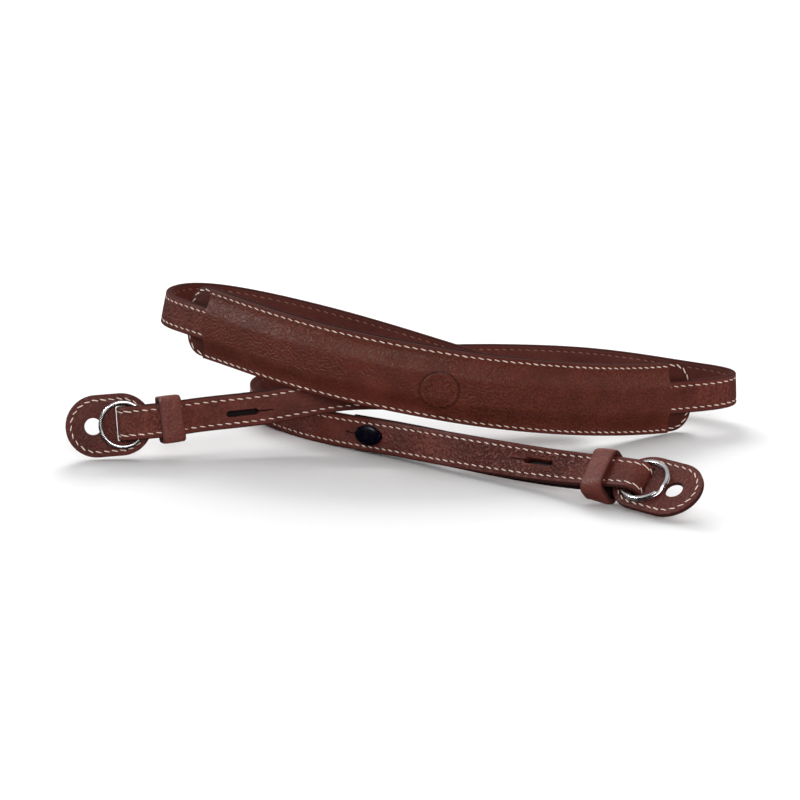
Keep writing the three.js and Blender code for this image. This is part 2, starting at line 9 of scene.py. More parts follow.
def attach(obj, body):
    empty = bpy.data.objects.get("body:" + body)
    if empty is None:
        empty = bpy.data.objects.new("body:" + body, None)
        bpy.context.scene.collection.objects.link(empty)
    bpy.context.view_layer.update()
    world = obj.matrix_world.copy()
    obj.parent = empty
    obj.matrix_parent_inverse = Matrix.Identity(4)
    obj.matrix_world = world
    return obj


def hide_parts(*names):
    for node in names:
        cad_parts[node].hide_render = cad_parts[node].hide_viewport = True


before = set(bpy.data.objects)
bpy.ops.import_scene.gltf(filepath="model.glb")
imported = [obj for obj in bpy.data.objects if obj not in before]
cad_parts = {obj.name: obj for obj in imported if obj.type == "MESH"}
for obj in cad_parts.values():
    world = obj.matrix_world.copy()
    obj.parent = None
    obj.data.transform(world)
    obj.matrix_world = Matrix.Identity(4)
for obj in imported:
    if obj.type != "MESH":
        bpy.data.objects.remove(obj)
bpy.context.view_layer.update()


# The strap: two layers of cowhide sewn back to back, pebbled on the outside and burnished dark along both
# edges. Its ends are skived thin, folded down through the rings and flaps, and laid back behind it.
# It was put down in a loose coil, standing on its edge.
strap_route = np.array([
    # x, y and z in metres, and how far the top leans back in degrees
    (-0.09739, -0.01619, 0.01325, 12),
    (-0.09099, -0.01529, 0.01355, 12),
    (-0.08399, -0.01339, 0.01395, 12),
    (-0.07599, -0.01019, 0.01455, 12),
    (-0.06499, -0.00689, 0.01495, 11),
    (-0.05159, -0.00339, 0.01545, 10),
    (-0.03799, 0.00021, 0.01735, 9),
    (-0.02499, 0.00101, 0.01985, 6),
    (-0.00999, 0.00331, 0.01945, 3),
    (0.00801, 0.00751, 0.01755, 0),
    (0.02801, 0.01201, 0.01505, 0),
    (0.04401, 0.01251, 0.01365, 0),
    (0.05601, 0.01401, 0.01345, 0),
    (0.06151, 0.02101, 0.01425, 0),
    (0.05601, 0.02801, 0.01545, 0),
    (0.04201, 0.03001, 0.01745, 0),
    (0.02401, 0.03401, 0.02145, 0),
    (0.00401, 0.03951, 0.02675, 0),
    (-0.01799, 0.04551, 0.03225, 0),
    (-0.03799, 0.05021, 0.03665, 0),
    (-0.05799, 0.05331, 0.04065, 0),
    (-0.07399, 0.05601, 0.04285, 4),
    (-0.08499, 0.05351, 0.04365, 8),
    (-0.09099, 0.04351, 0.04375, 12),
    (-0.08999, 0.03201, 0.04345, 12),
    (-0.08199, 0.02301, 0.04285, 8),
    (-0.06999, 0.01301, 0.04145, 2),
    (-0.05199, 0.00001, 0.03795, 0),
    (-0.03399, -0.00949, 0.03475, -2),
    (-0.01599, -0.01549, 0.03185, -4),
    (0.00201, -0.01849, 0.02905, -4),
    (0.02001, -0.01849, 0.02585, -3),
    (0.03801, -0.01499, 0.02285, -1),
    (0.05601, -0.00699, 0.01945, 1),
    (0.07201, 0.00351, 0.01635, 2),
    (0.08701, 0.01351, 0.01425, 6),
    (0.10101, 0.02201, 0.01335, 4),
    (0.11451, 0.02651, 0.01335, 3),
    (0.12151, 0.03451, 0.01345, 3),
    (0.11751, 0.04401, 0.01335, 2),
    (0.10601, 0.05051, 0.01345, 0),
    (0.08801, 0.06251, 0.01395, 0),
    (0.06801, 0.07601, 0.01355, 0),
    (0.04401, 0.08551, 0.01245, 0),
    (0.01801, 0.09051, 0.01145, 0),
    (-0.00799, 0.09001, 0.01005, 0),
    (-0.03199, 0.08301, 0.00845, 0),
    (-0.05099, 0.07001, 0.00695, 0),
    (-0.06099, 0.05251, 0.00665, 0),
    (-0.05799, 0.03651, 0.00655, 0),
    (-0.04699, 0.02151, 0.00625, 1),
    (-0.03499, 0.00911, 0.00585, 2),
    (-0.02099, -0.00269, 0.00645, 5),
    (-0.00499, -0.01569, 0.00725, 10),
    (0.01201, -0.02949, 0.00765, 18),
    (0.02801, -0.04109, 0.00785, 29),
    (0.04201, -0.05149, 0.00825, 37),
    (0.05301, -0.06029, 0.00925, 43),
    (0.06081, -0.06659, 0.01035, 47.5),
    (0.06601, -0.07059, 0.01125, 52),
    (0.07061, -0.07389, 0.01155, 55),
])
strap_width = 0.012
strap_thickness = 0.0026
tail_thickness = 0.0018
tail_length = 0.117
clearance = 0.0003


def smooth(low, high, value):
    part = np.clip((value - low) / (high - low), 0, 1)
    return part * part * (3 - 2 * part)


def spline_through(rows, steps):
    """The uniform cubic B-spline that the rows guide, with straight ends."""
    guides = np.vstack([2 * rows[0] - rows[1], rows, 2 * rows[-1] - rows[-2]])
    f = np.linspace(0, 1, steps, endpoint=False)[:, None]
    pieces = []
    for before, here, following, after in zip(guides, guides[1:], guides[2:], guides[3:]):
        pieces.append((
            (1 - f) ** 3 * before
            + (3 * f ** 3 - 6 * f ** 2 + 4) * here
            + (-3 * f ** 3 + 3 * f ** 2 + 3 * f + 1) * following
            + f ** 3 * after
        ) / 6)
    pieces.append(rows[-1:])
    return np.vstack(pieces)


route_samples = spline_through(strap_route, 48)
route_steps = np.linalg.norm(np.diff(route_samples[:, :3], axis=0), axis=1)
route_distances = np.concatenate([[0], np.cumsum(route_steps)])
route_length = route_distances[-1]
route_tangents = np.gradient(route_samples[:, :3], route_distances, axis=0)


def unit(vectors):
    return vectors / np.linalg.norm(vectors, axis=-1, keepdims=True)


def places_at(distances):
    """Rows of point, along, across and out (of the grain side) at distances along the strap."""
    distances = np.atleast_1d(np.asarray(distances, float))
    point, along = (
        np.column_stack([np.interp(distances, route_distances, values[:, i]) for i in range(3)])
        for values in (route_samples, route_tangents)
    )
    along = unit(along)
    lean = np.radians(np.interp(distances, route_distances, route_samples[:, 3]))[:, None]
    upward = unit(np.array([0, 0, 1.0]) - along[:, 2:] * along)
    across = upward * np.cos(lean) - np.cross(along, upward) * np.sin(lean)
    return np.stack([point, along, across, np.cross(along, across)], axis=1)


def moved(places, along=0, across=0, out=0):
    shift = np.broadcast_to(np.column_stack(np.broadcast_arrays(along, across, out)), (len(places), 3))
    result = places.copy()
    result[:, 0] += np.einsum("ij,ijk->ik", shift, places[:, 1:])
    return result


def turned_over(places):
    return places * np.array([1, -1, 1, -1])[None, :, None]


# At a fold the ring, the flap and the tail lie behind one another, and the layers close up farther on.
ring_depth = 0.00195
flap_thickness = 0.0017
ring_behind = tail_thickness / 2 + clearance + ring_depth / 2
flap_behind = tail_thickness / 2 + clearance + ring_depth + clearance + flap_thickness / 2
tail_behind_flap = flap_behind + flap_thickness / 2 + clearance + tail_thickness / 2
tail_behind_strap = strap_thickness / 2 + clearance + tail_thickness / 2
tail_open_to = 0.0068
tail_closed_from = 0.015
fold_reach = 0.0046
skived_to = 0.010
full_from = 0.024


def from_fold(distances):
    """The distance to the nearer of the two folds."""
    return np.minimum(distances, route_length - distances)


def thickness_at(distances):
    full = smooth(skived_to, full_from, from_fold(distances))
    return tail_thickness + (strap_thickness - tail_thickness) * full


def tail_behind_at(distances):
    closed = smooth(tail_open_to, tail_closed_from, from_fold(distances))
    return tail_behind_flap + (tail_behind_strap - tail_behind_flap) * closed


def tail_places(distances):
    return turned_over(moved(places_at(distances), out=-tail_behind_at(distances)))


def fold_places(distance, away, steps=20):
    """The half turn at a fold, from the front layer round to the tail."""
    radius = tail_behind_flap / 2
    angle = np.pi * np.arange(1, steps) / steps
    start = np.repeat(places_at(distance), len(angle), axis=0)
    result = moved(start, along=-away * fold_reach * np.sin(angle), out=-radius + radius * np.cos(angle))
    out = unit(
        start[:, 3] * (fold_reach * np.cos(angle))[:, None]
        - start[:, 1] * (away * radius * np.sin(angle))[:, None]
    )
    result[:, 3] = out
    result[:, 1] = np.cross(result[:, 2], out)
    return result


groove_depth = 0.00016
groove_width = 0.00028
groove_points = (-0.0006, -0.00035, -0.00018, 0, 0.00018, 0.00035, 0.0006)
corner_step = 22.5


def leather_section(half, low, high, edge, rows=()):
    """A slab of leather seen end on, with rounded edges and a groove pressed along each row of stitches."""
    marks = [row + side for row in rows for side in groove_points]
    face = np.array(sorted({0.0, half - edge, half * 0.45, *marks}))
    face = np.concatenate([-face[:0:-1], face])
    groove = np.zeros(len(face))
    for row in rows:
        groove += groove_depth * np.exp(-(((np.abs(face) - row) / groove_width) ** 2))
    turn = np.radians(corner_step * np.arange(1, 5))
    before = turn - np.radians(corner_step)
    right, left = half - edge, -half + edge
    bottom, top = low + edge, high - edge
    return np.vstack([
        np.column_stack([face, low + groove]),
        np.column_stack([right + edge * np.sin(turn), bottom - edge * np.cos(turn)]),
        np.column_stack([right + edge * np.cos(before), top + edge * np.sin(before)]),
        np.column_stack([face[::-1], high - groove[::-1]]),
        np.column_stack([left - edge * np.sin(turn), top + edge * np.cos(turn)]),
        np.column_stack([left - edge * np.cos(before), bottom - edge * np.sin(before)]),
    ])


def placed(name, data):
    """A new object in the scene, at the origin."""
    piece = bpy.data.objects.new(name, data)
    bpy.context.scene.collection.objects.link(piece)
    return piece


def shaded(mesh, crease):
    """Smooth shading, with a sharp line wherever two faces meet at more degrees than the crease."""
    mesh.shade_smooth()
    mesh.set_sharp_from_angle(angle=math.radians(crease))


def mark_points(mesh, mark, values):
    attribute = mesh.attributes.new(mark, "FLOAT", "POINT")
    attribute.data.foreach_set("value", np.asarray(values, np.float32).reshape(-1))


def plain_mesh(piece):
    """What the piece's modifiers make of it, as a mesh of its own."""
    return bpy.data.meshes.new_from_object(piece.evaluated_get(bpy.context.evaluated_depsgraph_get()))


def lofted(name, places, sections, marks, slides=0.0):
    """A closed mesh through the sections, with one float attribute on its points for each mark.

    The slides move points along the strap from their own section.
    """
    sections = np.asarray(sections)
    count, corners = sections.shape[:2]
    points = (
        places[:, None, 0]
        + sections[..., :1] * places[:, None, 2]
        + sections[..., 1:] * places[:, None, 3]
        + np.broadcast_to(slides, (count, corners))[..., None] * places[:, None, 1]
    )
    ring = np.arange(corners)
    quads = []
    for i in range(count - 1):
        a, b = i * corners + ring, i * corners + np.roll(ring, -1)
        quads.extend(zip(a, b, b + corners, a + corners))
    last = (count - 1) * corners
    faces = [tuple(int(v) for v in quad) for quad in quads]
    faces += [tuple(range(corners - 1, -1, -1)), tuple(range(last, last + corners))]
    mesh = bpy.data.meshes.new(name)
    mesh.from_pydata(points.reshape(-1, 3).tolist(), [], faces)
    for mark, values in marks.items():
        mark_points(mesh, mark, values)
    shaded(mesh, 50)
    return placed(name, mesh)


rim_width = 0.0008
rim_fades_by = 0.0014


def leather_marks(sections, half, edge):
    """How much of a point is rim, beyond the stitches, cut edge, and back of the leather."""
    sections = np.asarray(sections)
    across = np.abs(sections[..., 0])
    middle = (sections[..., 1].max(axis=1) + sections[..., 1].min(axis=1))[:, None] / 2
    return {
        "rim": smooth(half - rim_fades_by, half - rim_width, across),
        "edge": smooth(half - edge * 0.75, half - edge * 0.2, across),
        "back": (sections[..., 1] < middle).astype(float),
    }


class Shade:
    """A socket among a material's nodes, on which sums can be written."""

    def __init__(self, tree, socket):
        self.tree = tree
        self.socket = socket

    def node(self, kind, settings, sockets, output=0):
        made = self.tree.nodes.new(kind)
        for name, value in settings.items():
            setattr(made, name, value)
        for name, value in sockets.items():
            if isinstance(value, Shade):
                self.tree.links.new(value.socket, made.inputs[name])
            else:
                made.inputs[name].default_value = value
        return Shade(self.tree, made.outputs[output])

    def math(self, operation, *values):
        return self.node("ShaderNodeMath", {"operation": operation}, dict(enumerate(values)))

    def __add__(self, other):
        return self.math("ADD", self, other)

    __radd__ = __add__

    def __mul__(self, other):
        return self.math("MULTIPLY", self, other)

    __rmul__ = __mul__

    def __sub__(self, other):
        return self.math("SUBTRACT", self, other)

    def __rsub__(self, other):
        return self.math("SUBTRACT", other, self)

    def noise(self, where, scale, detail=3.0, roughness=0.5):
        return self.node("ShaderNodeTexNoise", {}, {
            "Vector": where, "Scale": scale, "Detail": detail, "Roughness": roughness,
        })

    def between(self, low, high):
        """0 below low, 1 above high, and a smooth step between them."""
        return self.node("ShaderNodeMapRange", {"interpolation_type": "SMOOTHSTEP"}, {
            "Value": self, "From Min": low, "From Max": high,
        })

    def tint(self, first, second):
        """The first colour where this is 0, the second where it is 1."""
        return self.node("ShaderNodeMix", {"data_type": "RGBA"}, {0: self, 6: first, 7: second}, 2)

    def bump(self, distance, strength=1.0):
        """The normal of a surface that rises with this by the distance."""
        return self.node("ShaderNodeBump", {}, {"Strength": strength, "Distance": distance, "Height": self})


def bare_material(name):
    """A material with only its Principled shader, the Object coordinates, and a Shade to write sums from."""
    material = bpy.data.materials.new(name)
    material.use_nodes = True
    tree = material.node_tree
    shader = tree.nodes["Principled BSDF"]
    where = Shade(tree, tree.nodes.new("ShaderNodeTexCoord").outputs["Object"])
    return material, shader, where


def into(shader, **links):
    for name, shade in links.items():
        shade.tree.links.new(shade.socket, shader.inputs[name.replace("_", " ")])


def darker(colour, share):
    return tuple(share * c for c in colour[:3]) + (1.0,)


# The painted shadow's colour: nearly black, for the tail's back seen through the buttonholes.
painted_shadow_black = (0.006, 0.002, 0.002, 1)


def grained_leather(name, light, dark, rim, pebble=0.001, relief=0.00016, gloss=0.46, shine=0.14):
    """Vegetable-tanned leather: pebbles with creases between them, mottled dye, and darker, smoother rims.

    Where a point is marked coarse the creases are deeper and carry more painted shade, where pressed the
    leather is coloured darker, and where the tail's back is marked it is painted nearly black, as the
    shadow seen through the buttonholes.
    """
    material, shader, where = bare_material(name)
    rimmed, edged, back, hole_shadow, coarse_with_painted_shade, pressed = (
        where.node("ShaderNodeAttribute", {"attribute_name": mark}, {}, 2)
        for mark in ("rim", "edge", "back", "hole_shadow", "coarse_with_painted_shade", "pressed")
    )
    swirl = where.node("ShaderNodeTexNoise", {}, {"Vector": where, "Scale": 0.4 / pebble, "Detail": 2.0}, 1)
    bent = where.node("ShaderNodeVectorMath", {"operation": "MULTIPLY_ADD"}, {
        0: swirl, 1: (pebble * 1.6,) * 3, 2: where,
    })
    cells = where.node("ShaderNodeTexVoronoi", {"feature": "SMOOTH_F1"}, {
        "Vector": bent, "Scale": 1 / pebble, "Smoothness": 0.65, "Randomness": 1.0,
    })
    crease = cells.between(0.30, 0.75)
    fine = where.noise(bent, 4.5 / pebble, 4.0, 0.6)
    worked = where.noise(where, 95.0, 4.0, 0.55)
    patches = where.noise(where, 28.0, 3.0, 0.6)
    wrinkles = where.node("ShaderNodeTexNoise", {}, {
        "Vector": where.node("ShaderNodeMapping", {}, {"Vector": bent, "Scale": (2.2, 2.2, 0.6)}),
        "Scale": 260.0, "Detail": 3.0, "Roughness": 0.55,
    }).between(0.42, 0.70)
    grain = (1 - rimmed * 0.75) * (1 - back * 0.7) * (0.45 + 0.9 * patches.between(0.35, 0.65))
    tone = (0.55 * worked + 0.45 * patches).between(0.30, 0.68)
    # The creases between pebbles are coloured darker: painted shade, stronger where coarse.
    colour = (tone * (1 - crease * grain * (0.5 + 0.4 * coarse_with_painted_shade))).tint(dark, light)
    colour = (rimmed * (0.55 + 0.35 * worked)).tint(colour, rim)
    colour = (back * 0.55).tint(colour, dark)
    colour = (edged * (0.75 + 0.2 * worked)).tint(colour, darker(dark, 0.42))
    # Coloured darker where the flower mark is pressed in.
    colour = (pressed * 0.65).tint(colour, darker(dark, 0.5))
    # Painted shadow: the tail's back, which shows through the buttonholes, is coloured nearly black.
    colour = (hole_shadow * 0.96).tint(colour, painted_shadow_black)
    height = (1 - crease) * grain * (1 + 2 * coarse_with_painted_shade) + 0.22 * fine + 0.35 * wrinkles * grain
    rough = gloss + 0.14 * crease * grain + 0.1 * (patches - 0.5) + 0.2 * back + 0.4 * edged
    shader.inputs["Specular IOR Level"].default_value = shine
    into(shader, Base_Color=colour, Roughness=rough, Normal=height.bump(relief))
    return material


strap_leather = grained_leather(
    "strap_leather", (0.188, 0.043, 0.030, 1), (0.080, 0.015, 0.010, 1), (0.110, 0.022, 0.016, 1),
    relief=0.00026, shine=0.17,
)

strap_half = strap_width / 2
strap_edge = 0.0007
stitch_row = 0.00415
run_distances = np.linspace(0, route_length, 860)
tail_distances = np.concatenate([
    np.linspace(0, tail_closed_from, 16),
    np.linspace(tail_closed_from, tail_length, 84)[1:],
])
strap_places = np.concatenate([
    tail_places(tail_distances[::-1]),
    fold_places(0, 1)[::-1],
    places_at(run_distances),
    fold_places(route_length, -1),
    tail_places(route_length - tail_distances),
])
extra = len(fold_places(0, 1)) + len(tail_distances)
strap_thicknesses = np.concatenate([
    np.full(extra, tail_thickness),
    thickness_at(run_distances),
    np.full(extra, tail_thickness),
])
strap_sections = [
    leather_section(strap_half, -t / 2, t / 2, strap_edge, (stitch_row,)) for t in strap_thicknesses
]
strap_marks = leather_marks(strap_sections, strap_half, strap_edge)
in_tail = np.zeros(len(strap_places))
in_tail[:len(tail_distances)] = in_tail[-len(tail_distances):] = 1
# The tail's back takes the painted shadow that shows through the buttonholes.
strap_marks["hole_shadow"] = strap_marks["back"] * in_tail[:, None]
from_right_fold = route_length - run_distances
# On the right leg near its keeper the creases are deeper and carry more painted shade.
coarse_shaded_stretch = smooth(0.075, 0.05, from_right_fold) * smooth(0.012, 0.02, from_right_fold)
strap_marks["coarse_with_painted_shade"] = np.zeros(strap_marks["back"].shape)
strap_marks["coarse_with_painted_shade"][extra:extra + len(run_distances)] = coarse_shaded_stretch[:, None]
strap = lofted("strap_body", strap_places, strap_sections, strap_marks)
strap.data.materials.append(strap_leather)


# The buttonholes are punched through the front layer: an oblong hole, with a slit on the side away from the
# ring so that the stud's head can pass. One lies spare on each leg and one holds the stud.
stud_at = 0.1073
stud_neck = 0.0028
spare_hole_at = {"left": 0.0391, "right": 0.0357}
spare_hole_across = {"left": -0.0008, "right": 0.0005}
spare_hole_width = 0.0022
stud_hole_width = stud_neck + 0.0006
hole_half = 0.006
hole_shoulder = 0.0003
slit_half = 0.00022
slit_end = 0.011
punch_depth = 0.00145
punch_height = 0.003


def from_end(end, distance):
    """The distance along the route of a place on the left or right leg."""
    return distance if end == "left" else route_length - distance


def world_of(place):
    """The matrix that puts x along, y across and z out at a place."""
    matrix = Matrix.Identity(4)
    for column, axis in enumerate((place[1], place[2], place[3], place[0])):
        matrix.col[column][:3] = axis
    return matrix


def punch_for(end, distance, across, width):
    """The punch that makes one buttonhole, as a closed mesh in its place."""
    side = width / 2
    arc = np.radians(np.linspace(90, 270, 9))
    outline = [(-hole_half + side + side * math.cos(a), side * math.sin(a)) for a in arc]
    outline += [
        (hole_half - side, -side),
        (hole_half - hole_shoulder, -slit_half),
        (slit_end, -slit_half),
        (slit_end, slit_half),
        (hole_half - hole_shoulder, slit_half),
        (hole_half - side, side),
    ]
    away = 1 if end == "left" else -1
    made = bmesh.new()
    face = made.faces.new([made.verts.new((away * x, away * y + across, -punch_depth)) for x, y in outline])
    grown = bmesh.ops.extrude_face_region(made, geom=[face])["geom"]
    raised = [v for v in grown if isinstance(v, bmesh.types.BMVert)]
    bmesh.ops.translate(made, vec=(0, 0, punch_height), verts=raised)
    bmesh.ops.recalc_face_normals(made, faces=made.faces)
    made.transform(world_of(places_at(from_end(end, distance))[0]))
    mesh = bpy.data.meshes.new("punch")
    made.to_mesh(mesh)
    made.free()
    return mesh


def joined(name, meshes):
    """One mesh of several, which it uses up."""
    made = bmesh.new()
    for mesh in meshes:
        made.from_mesh(mesh)
        bpy.data.meshes.remove(mesh)
    whole = bpy.data.meshes.new(name)
    made.to_mesh(whole)
    made.free()
    return whole


punches = []
for end in ("left", "right"):
    punches.append(punch_for(end, spare_hole_at[end], spare_hole_across[end], spare_hole_width))
    punches.append(punch_for(end, stud_at, 0, stud_hole_width))
cutter = placed("buttonhole_punches", joined("buttonhole_punches", punches))
punching = strap.modifiers.new("punching", "BOOLEAN")
punching.operation = "DIFFERENCE"
punching.solver = "EXACT"
punching.object = cutter
punched_mesh = plain_mesh(strap)
strap.modifiers.remove(punching)
strap.data = punched_mesh
bpy.data.objects.remove(cutter)
shaded(punched_mesh, 50)
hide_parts("strap")
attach(strap, "root")


# The stitching: waxed linen thread in saddle stitch, cream on the grain side and brown on the back. Each
# stitch lies at a slight slant between two holes, and its ends go down into the leather.
def stitching_tree():
    tree = bpy.data.node_groups.new("saddle_stitches", "GeometryNodeTree")
    tree.interface.new_socket("Geometry", in_out="OUTPUT", socket_type="NodeSocketGeometry")
    tree.interface.new_socket("Rows", in_out="INPUT", socket_type="NodeSocketGeometry")
    for name in ("Pitch", "Stitch Length", "Thread Thickness", "Slant"):
        tree.interface.new_socket(name, in_out="INPUT", socket_type="NodeSocketFloat")
    tree.interface.new_socket("Thread", in_out="INPUT", socket_type="NodeSocketMaterial")

    def node(kind, settings, sockets):
        made = tree.nodes.new(kind)
        for key, value in settings.items():
            setattr(made, key, value)
        for key, value in sockets.items():
            if isinstance(value, bpy.types.NodeSocket):
                tree.links.new(value, made.inputs[key])
            else:
                made.inputs[key].default_value = value
        return made

    def number(operation, *values):
        return node("ShaderNodeMath", {"operation": operation}, dict(enumerate(values))).outputs[0]

    def vector(x, y, z):
        return node("ShaderNodeCombineXYZ", {}, {"X": x, "Y": y, "Z": z}).outputs[0]

    given = tree.nodes.new("NodeGroupInput").outputs
    half = number("MULTIPLY", given["Stitch Length"], 0.5)
    sunk = number("MULTIPLY", given["Thread Thickness"], -0.62)
    raised = number("MULTIPLY", given["Thread Thickness"], 0.5)
    thread = node("GeometryNodeCurveQuadraticBezier", {}, {
        "Resolution": 5,
        "Start": vector(number("MULTIPLY", half, -1.0), given["Slant"], sunk),
        "Middle": vector(0.0, 0.0, raised),
        "End": vector(half, number("MULTIPLY", given["Slant"], -1.0), sunk),
    })
    round_thread = node("GeometryNodeCurvePrimitiveCircle", {}, {
        "Resolution": 7, "Radius": number("MULTIPLY", given["Thread Thickness"], 0.5),
    })
    stitch = node("GeometryNodeCurveToMesh", {}, {
        "Curve": thread.outputs[0], "Profile Curve": round_thread.outputs[0], "Fill Caps": True,
    })
    rows = node("GeometryNodeMeshToCurve", {}, {"Mesh": given["Rows"]})
    spaced = node("GeometryNodeResampleCurve", {"mode": "LENGTH"}, {
        "Curve": rows.outputs[0], "Length": given["Pitch"],
    })
    out = node("GeometryNodeInputNamedAttribute", {"data_type": "FLOAT_VECTOR"}, {"Name": "out"})
    tangent = node("GeometryNodeInputTangent", {}, {})
    facing = node("FunctionNodeAxesToRotation", {"primary_axis": "Z", "secondary_axis": "X"}, {
        "Primary Axis": out.outputs[0], "Secondary Axis": tangent.outputs[0],
    })
    size = node("FunctionNodeRandomValue", {"data_type": "FLOAT"}, {2: 0.93, 3: 1.06, "Seed": 11})
    sewn = node("GeometryNodeInstanceOnPoints", {}, {
        "Points": spaced.outputs[0], "Instance": stitch.outputs[0],
        "Rotation": facing.outputs[0], "Scale": size.outputs[1],
    })
    real = node("GeometryNodeRealizeInstances", {}, {"Geometry": sewn.outputs[0]})
    finished = node("GeometryNodeSetMaterial", {}, {"Geometry": real.outputs[0], "Material": given["Thread"]})
    final = tree.nodes.new("NodeGroupOutput")
    tree.links.new(finished.outputs[0], final.inputs[0])
    return tree


saddle_stitches = stitching_tree()
slant_share = 0.13


def sew(name, rows, pitch, length, thickness, thread):
    """One mesh of stitches along rows, each a pair of points and outward directions."""
    mesh = bpy.data.meshes.new(name)
    points = np.vstack([row[0] for row in rows])
    outs = np.vstack([row[1] for row in rows])
    edges = []
    start = 0
    for row in rows:
        edges += [(i, i + 1) for i in range(start, start + len(row[0]) - 1)]
        start += len(row[0])
    mesh.from_pydata(points.tolist(), edges, [])
    attribute = mesh.attributes.new("out", "FLOAT_VECTOR", "POINT")
    attribute.data.foreach_set("vector", outs.astype(np.float32).reshape(-1))
    piece = placed(name, mesh)
    modifier = piece.modifiers.new("stitches", "NODES")
    modifier.node_group = saddle_stitches
    values = {
        "Pitch": pitch,
        "Stitch Length": length,
        "Thread Thickness": thickness,
        "Slant": length * slant_share,
        "Thread": thread,
    }
    for item in saddle_stitches.interface.items_tree:
        if item.in_out == "INPUT" and item.name in values:
            modifier[item.identifier] = values[item.name]
    sewn = plain_mesh(piece)
    piece.modifiers.remove(modifier)
    piece.data = sewn
    bpy.data.meshes.remove(mesh)
    sewn.shade_smooth()
    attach(piece, "root")
    return piece


def linen_thread(name, light, dark):
    """Waxed thread, whose plies show as fine uneven marks, a little soiled in places."""
    material, shader, where = bare_material(name)
    plies = where.noise(where, 3600.0, 2.0)
    dirt = where.noise(where, 120.0, 3.0, 0.6)
    colour = (0.5 * plies.between(0.3, 0.7) + 0.5 * dirt.between(0.35, 0.65)).tint(dark, light)
    shader.inputs["Specular IOR Level"].default_value = 0.3
    into(shader, Base_Color=colour, Roughness=0.62 + 0.1 * plies, Normal=plies.bump(0.00005, 0.6))
    return material


cream_thread = linen_thread("cream_thread", (0.98, 0.84, 0.74, 1), (0.78, 0.60, 0.50, 1))
brown_thread = linen_thread("brown_thread", (0.36, 0.15, 0.10, 1), (0.20, 0.08, 0.055, 1))
strap_pitch = 0.0031
front_stitch = 0.0030
front_thread = 0.00047
back_stitch = 0.0025
thin_thread = 0.00045
lining_stops_at = tail_length + 0.004


def row_on(places, across, out):
    """A row of stitches on the leather's front, or on its back where it lies to that side."""
    shifted = moved(places, across=across, out=out)
    return shifted[:, 0], shifted[:, 3] * np.sign(out)[:, None]


row_places = strap_places[3:-3]
row_out = (strap_thicknesses / 2 - groove_depth)[3:-3]
lining_range = np.linspace(lining_stops_at, route_length - lining_stops_at, 760)
lining_out = -(thickness_at(lining_range) / 2 - groove_depth)
front_rows = [row_on(row_places, side, row_out) for side in (-stitch_row, stitch_row)]
back_rows = [row_on(places_at(lining_range), side, lining_out) for side in (-stitch_row, stitch_row)]
strap_thread = sew("strap_stitches", front_rows, strap_pitch, front_stitch, front_thread, cream_thread)
strap_back_thread = sew("strap_back_stitches", back_rows, strap_pitch, back_stitch, thin_thread, brown_thread)


# The pad's face: a thin shaped leather that arches over the strap and meets the backing on both sides. It is
# cut straight at its ends, sewn along both sides, and pressed with a plain flower in a ring.
pad_from = 0.3522
pad_length = 0.209
pad_half = 0.0129
pad_thickness = 0.0018
backing_beyond_face = 0.0123
backing_top = -strap_thickness / 2 - clearance
face_side = backing_top + clearance
face_middle = strap_thickness / 2 + clearance
tunnel_half = 0.0063
tunnel_shoulder = tunnel_half + 0.0036
pad_row = 0.0116
pad_groove_depth = 0.00018
pad_groove_width = 0.0003
mark_at = 0.4564
mark_across = -0.0013
mark_radius = 0.0069


def face_under(across):
    """The inside of the face, which arches over the strap and meets the backing at its sides."""
    return face_middle + (face_side - face_middle) * smooth(tunnel_half, tunnel_shoulder, np.abs(across))


def face_over(across):
    down = smooth(tunnel_half - 0.0025, tunnel_shoulder + 0.0006, np.abs(across))
    groove = pad_groove_depth * np.exp(-(((np.abs(across) - pad_row) / pad_groove_width) ** 2))
    return face_middle + (face_side - face_middle) * down + pad_thickness - groove


def pressed_line(beside, depth):
    """The height across a pressed or raised line, 0.05 of the mark's radius wide on each side."""
    return depth * np.exp(-((beside / 0.05) ** 2))


def pressed_flower(along, across):
    """The height of the mark: a pressed rim, a raised ring inside it, and eight petals with pressed edges."""
    radius = np.hypot(along, across) / mark_radius
    petal = 0.66 * np.sqrt(np.abs(np.cos(4 * np.arctan2(across, along)))) - radius
    outside_heart = smooth(0.10, 0.2, radius)
    rim = pressed_line(radius - 0.97, -0.00022)
    ring = pressed_line(radius - 0.87, 0.00016)
    petal_edge = pressed_line(petal, -0.00016) * outside_heart
    petals = 0.00008 * smooth(0.0, 0.09, petal) * outside_heart
    heart = 0.00012 * (1 - smooth(0.08, 0.13, radius))
    return rim + ring + petal_edge + petals + heart


face_from = pad_from + backing_beyond_face
face_to = pad_from + pad_length - backing_beyond_face
mark_reach = mark_radius * 1.05
pad_distances = np.concatenate([
    np.linspace(face_from, mark_at - mark_reach, 60),
    np.linspace(mark_at - mark_reach, mark_at + mark_reach, 96)[1:-1],
    np.linspace(mark_at + mark_reach, face_to, 80),
])
face_edge = 0.0005
fine_across = np.linspace(-mark_reach, mark_reach, 90)
side_across = np.unique(np.concatenate([
    np.linspace(mark_reach, pad_half - face_edge, 16),
    pad_row + np.array([-5, -3, -1, 1, 3, 5]) * 0.00012,
]))
over_across = np.concatenate([-side_across[::-1], fine_across[1:-1], side_across])
under_across = np.linspace(-pad_half + face_edge, pad_half - face_edge, 50)
edge_turn = np.radians(np.arange(15, 90, 15))
face_low = np.column_stack([under_across, face_under(under_across)])
face_right = np.column_stack([
    pad_half - face_edge + face_edge * np.sin(edge_turn),
    face_side + face_edge - face_edge * np.cos(edge_turn),
])
side_top = face_over(pad_half)
face_right_top = np.column_stack([
    pad_half - face_edge + face_edge * np.cos(edge_turn),
    side_top - face_edge + face_edge * np.sin(edge_turn),
])
